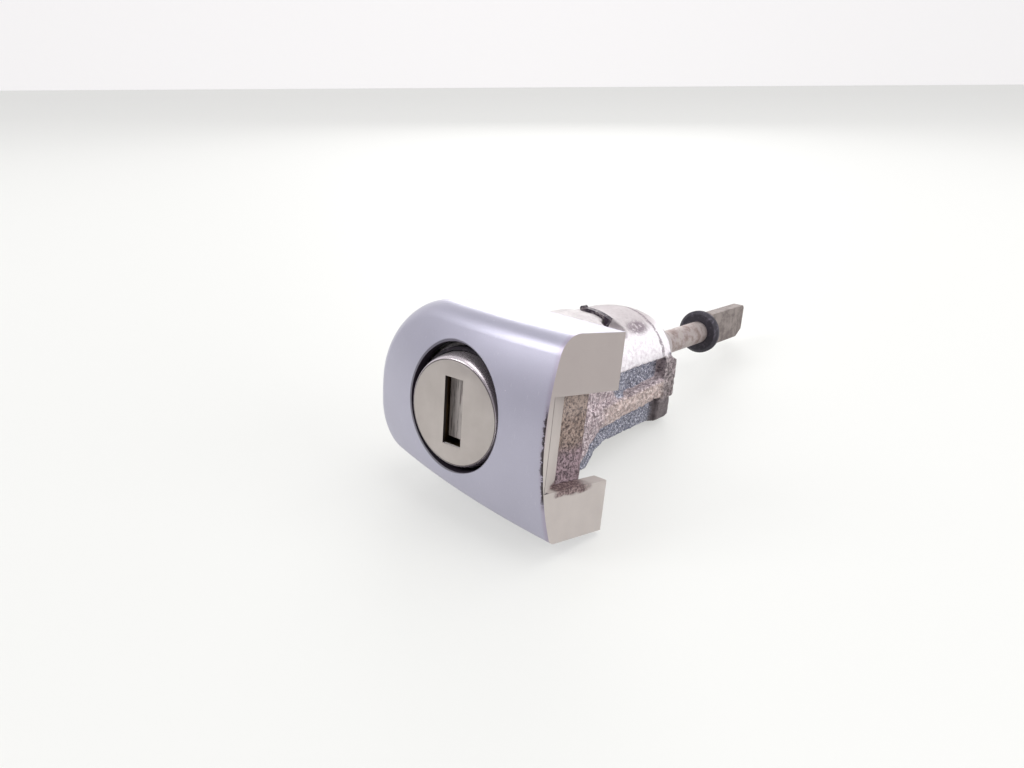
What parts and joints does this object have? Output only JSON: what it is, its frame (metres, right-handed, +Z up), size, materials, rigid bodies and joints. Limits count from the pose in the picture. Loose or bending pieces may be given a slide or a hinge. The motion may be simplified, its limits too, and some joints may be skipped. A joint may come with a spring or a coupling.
{
  "type": "car door lock cylinder",
  "caption": "Car door lock cylinder: painted end cap with a notched flank, slotted key plug in a ribbed zinc barrel, and a long tail with a flat blade.",
  "frame": {"origin": "centre of the plug's front face, on the lock axis, where the key enters", "axes": "+Y along the lock axis from the face to the tail, +Z up along the key slot, +X towards the door handle that the cap's flat flank butts on"},
  "size_m": [0.0379, 0.0973, 0.0287],
  "materials": {
    "paint": "metallic paint on a bare grey moulding",
    "zinc": "corroded zinc casting",
    "nickel": "satin nickel on drawn sheet",
    "brass": "machined",
    "steel": "dull zinc-plated",
    "dark_steel": "oxidised spring steel",
    "seal_rubber": "matte",
    "black_plastic": "matte"
  },
  "bodies": {
    "casting": {"housing": "zinc", "cap": "paint", "face_seal": "seal_rubber", "stop_pin": "steel", "rear_cover": "nickel", "cap_clip": "dark_steel", "return_spring": "dark_steel"},
    "plug": {"plug": "brass", "plug_face": "nickel", "shutter_pin": "steel", "shutter_spring": "steel", "wafer_1": "brass", "wafer_2": "brass", "wafer_3": "brass", "wafer_4": "brass", "wafer_5": "brass", "wafer_6": "brass", "wafer_7": "brass", "wafer_8": "brass", "wafer_springs": "steel", "circlip": "dark_steel", "driver": "zinc", "driver_pin": "steel", "tail_shaft": "steel", "tail_disc": "black_plastic"},
    "shutter": {"shutter": "steel"}
  },
  "joints": [
    {"name": "plug_turn", "type": "hinge", "parent": "casting", "child": "plug", "pos_m": [0, 0, 0], "axis": [0, 1, 0], "range_deg": [-45, 45], "stiffness_Nm_per_rad": 0.08},
    {"name": "shutter_swing", "type": "hinge", "parent": "plug", "child": "shutter", "pos_m": [0, 0.0015, 0.0052], "axis": [1, 0, 0], "range_deg": [0, 85], "stiffness_Nm_per_rad": 0.0002}
  ]
}
